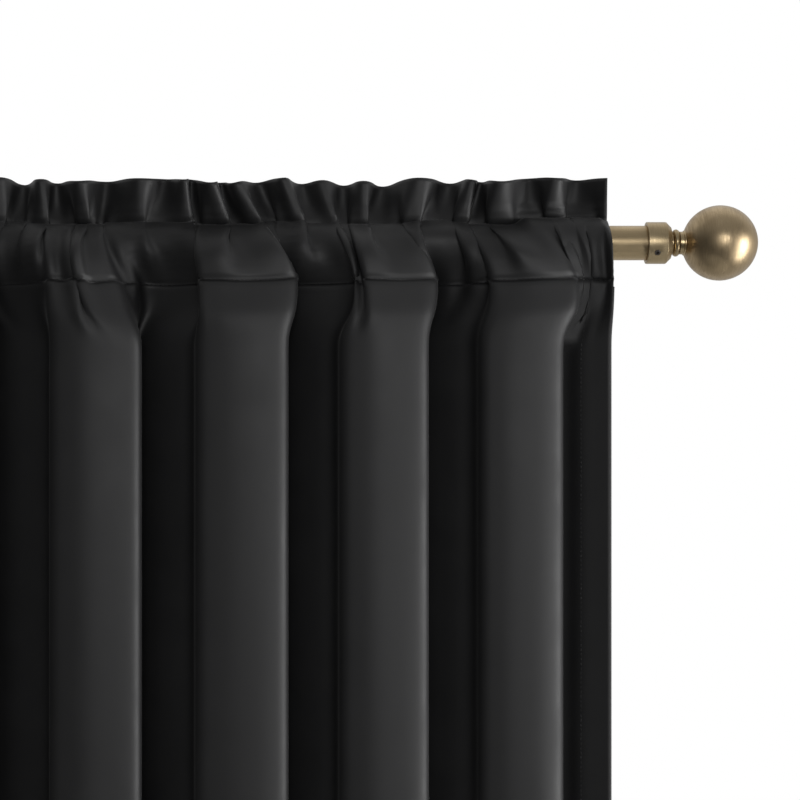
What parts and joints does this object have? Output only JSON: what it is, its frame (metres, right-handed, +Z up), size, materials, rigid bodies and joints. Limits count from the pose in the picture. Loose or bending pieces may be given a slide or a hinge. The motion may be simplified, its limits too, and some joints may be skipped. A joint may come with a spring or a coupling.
{
  "type": "window curtains on a rod",
  "caption": "Gathered rod-pocket blackout curtain panels on a telescoping brass-finish rod with ball finials and adjustable wall brackets.",
  "frame": {"origin": "middle of the centre bracket's wall face, between its two screw holes", "axes": "+X to the right seen from the room, +Y into the wall, +Z up; the rod runs along X, 90 mm in front of the wall"},
  "size_m": [1.5618, 0.1361, 1.6],
  "materials": {
    "blackout_cloth": "black woven polyester with a faint satin sheen",
    "rod_brass": "brushed antique brass, lacquered",
    "collar_brass": "dark antique brass, satin",
    "finial_brass": "antique brass, finely brushed round",
    "bracket_bronze": "dark antique-brass lacquer on steel",
    "dark_screw": "blackened steel",
    "plain_steel": "zinc-plated steel"
  },
  "bodies": {
    "wall_brackets": {"centre_wall_plate": "bracket_bronze", "centre_arm_sleeve": "bracket_bronze", "right_wall_plate": "bracket_bronze", "right_arm_sleeve": "bracket_bronze", "left_wall_plate": "bracket_bronze", "left_arm_sleeve": "bracket_bronze"},
    "rod": {"outer_tube": "rod_brass", "right_fold_1": "blackout_cloth", "left_fold_1": "blackout_cloth"},
    "inner_rod": {"inner_tube": "rod_brass"},
    "right_finial": {"right_finial_collar": "collar_brass", "right_finial_neck": "finial_brass", "right_finial_ball": "finial_brass", "right_finial_stud": "plain_steel"},
    "right_set_screw": {"right_set_screw": "dark_screw"},
    "left_finial": {"left_finial_collar": "collar_brass", "left_finial_neck": "finial_brass", "left_finial_ball": "finial_brass", "left_finial_stud": "plain_steel"},
    "left_set_screw": {"left_set_screw": "dark_screw"},
    "centre_bracket_arm": {"centre_arm": "bracket_bronze", "centre_cradle": "bracket_bronze"},
    "centre_lock_screw": {"centre_lock_screw": "dark_screw"},
    "centre_thumb_screw": {"centre_thumb_screw": "dark_screw"},
    "right_bracket_arm": {"right_arm": "bracket_bronze", "right_cradle": "bracket_bronze"},
    "right_lock_screw": {"right_lock_screw": "dark_screw"},
    "right_thumb_screw": {"right_thumb_screw": "dark_screw"},
    "left_bracket_arm": {"left_arm": "bracket_bronze", "left_cradle": "bracket_bronze"},
    "left_lock_screw": {"left_lock_screw": "dark_screw"},
    "left_thumb_screw": {"left_thumb_screw": "dark_screw"},
    "right_fold_2": {"right_fold_2": "blackout_cloth"},
    "right_fold_3": {"right_fold_3": "blackout_cloth"},
    "right_fold_4": {"right_fold_4": "blackout_cloth"},
    "right_fold_5": {"right_fold_5": "blackout_cloth"},
    "right_fold_6": {"right_fold_6": "blackout_cloth"},
    "left_fold_2": {"left_fold_2": "blackout_cloth"},
    "left_fold_3": {"left_fold_3": "blackout_cloth"},
    "left_fold_4": {"left_fold_4": "blackout_cloth"},
    "left_fold_5": {"left_fold_5": "blackout_cloth"},
    "left_fold_6": {"left_fold_6": "blackout_cloth"}
  },
  "joints": [
    {"name": "centre_projection", "type": "slide", "parent": "wall_brackets", "child": "centre_bracket_arm", "axis": [0, -1, 0], "range_m": [-0.01, 0.03]},
    {"name": "centre_lock_screw_back_off", "type": "slide", "parent": "wall_brackets", "child": "centre_lock_screw", "axis": [0, 0, -1], "range_m": [0, 0.004]},
    {"name": "centre_thumb_screw_back_off", "type": "slide", "parent": "centre_bracket_arm", "child": "centre_thumb_screw", "axis": [0, 0, -1], "range_m": [0, 0.004]},
    {"name": "right_projection", "type": "slide", "parent": "wall_brackets", "child": "right_bracket_arm", "axis": [0, -1, 0], "range_m": [-0.01, 0.03]},
    {"name": "right_lock_screw_back_off", "type": "slide", "parent": "wall_brackets", "child": "right_lock_screw", "axis": [0, 0, -1], "range_m": [0, 0.004]},
    {"name": "right_thumb_screw_back_off", "type": "slide", "parent": "right_bracket_arm", "child": "right_thumb_screw", "axis": [0, 0, -1], "range_m": [0, 0.004]},
    {"name": "left_projection", "type": "slide", "parent": "wall_brackets", "child": "left_bracket_arm", "axis": [0, -1, 0], "range_m": [-0.01, 0.03]},
    {"name": "left_lock_screw_back_off", "type": "slide", "parent": "wall_brackets", "child": "left_lock_screw", "axis": [0, 0, -1], "range_m": [0, 0.004]},
    {"name": "left_thumb_screw_back_off", "type": "slide", "parent": "left_bracket_arm", "child": "left_thumb_screw", "axis": [0, 0, -1], "range_m": [0, 0.004]},
    {"name": "rod_lift_off", "type": "slide", "parent": "centre_bracket_arm", "child": "rod", "axis": [0, 0, 1], "range_m": [0, 0.05]},
    {"name": "rod_extension", "type": "slide", "parent": "rod", "child": "inner_rod", "axis": [-1, 0, 0], "range_m": [-0.02, 0.3]},
    {"name": "right_finial_pull_off", "type": "slide", "parent": "rod", "child": "right_finial", "axis": [1, 0, 0], "range_m": [0, 0.02]},
    {"name": "right_set_screw_back_off", "type": "slide", "parent": "right_finial", "child": "right_set_screw", "axis": [0, -0.8387, -0.5446], "range_m": [0, 0.003]},
    {"name": "left_finial_pull_off", "type": "slide", "parent": "inner_rod", "child": "left_finial", "axis": [-1, 0, 0], "range_m": [0, 0.02]},
    {"name": "left_set_screw_back_off", "type": "slide", "parent": "left_finial", "child": "left_set_screw", "axis": [0, -0.8387, -0.5446], "range_m": [0, 0.003]},
    {"name": "right_panel_draw", "type": "slide", "parent": "rod", "child": "right_fold_6", "axis": [1, 0, 0], "range_m": [0, 0.305]},
    {"name": "right_fold_5_gather", "type": "slide", "parent": "rod", "child": "right_fold_5", "axis": [1, 0, 0], "range_m": [0, 0.244]},
    {"name": "right_fold_4_gather", "type": "slide", "parent": "rod", "child": "right_fold_4", "axis": [1, 0, 0], "range_m": [0, 0.183]},
    {"name": "right_fold_3_gather", "type": "slide", "parent": "rod", "child": "right_fold_3", "axis": [1, 0, 0], "range_m": [0, 0.122]},
    {"name": "right_fold_2_gather", "type": "slide", "parent": "rod", "child": "right_fold_2", "axis": [1, 0, 0], "range_m": [0, 0.061]},
    {"name": "left_panel_draw", "type": "slide", "parent": "rod", "child": "left_fold_6", "axis": [-1, 0, 0], "range_m": [0, 0.305]},
    {"name": "left_fold_5_gather", "type": "slide", "parent": "rod", "child": "left_fold_5", "axis": [-1, 0, 0], "range_m": [0, 0.244]},
    {"name": "left_fold_4_gather", "type": "slide", "parent": "rod", "child": "left_fold_4", "axis": [-1, 0, 0], "range_m": [0, 0.183]},
    {"name": "left_fold_3_gather", "type": "slide", "parent": "rod", "child": "left_fold_3", "axis": [-1, 0, 0], "range_m": [0, 0.122]},
    {"name": "left_fold_2_gather", "type": "slide", "parent": "rod", "child": "left_fold_2", "axis": [-1, 0, 0], "range_m": [0, 0.061]}
  ],
  "couplings": [
    {"joint": "right_projection", "follows": "centre_projection", "ratio": 1},
    {"joint": "left_projection", "follows": "centre_projection", "ratio": 1},
    {"joint": "right_fold_5_gather", "follows": "right_panel_draw", "ratio": 0.8},
    {"joint": "right_fold_4_gather", "follows": "right_panel_draw", "ratio": 0.6},
    {"joint": "right_fold_3_gather", "follows": "right_panel_draw", "ratio": 0.4},
    {"joint": "right_fold_2_gather", "follows": "right_panel_draw", "ratio": 0.2},
    {"joint": "left_fold_5_gather", "follows": "left_panel_draw", "ratio": 0.8},
    {"joint": "left_fold_4_gather", "follows": "left_panel_draw", "ratio": 0.6},
    {"joint": "left_fold_3_gather", "follows": "left_panel_draw", "ratio": 0.4},
    {"joint": "left_fold_2_gather", "follows": "left_panel_draw", "ratio": 0.2}
  ]
}
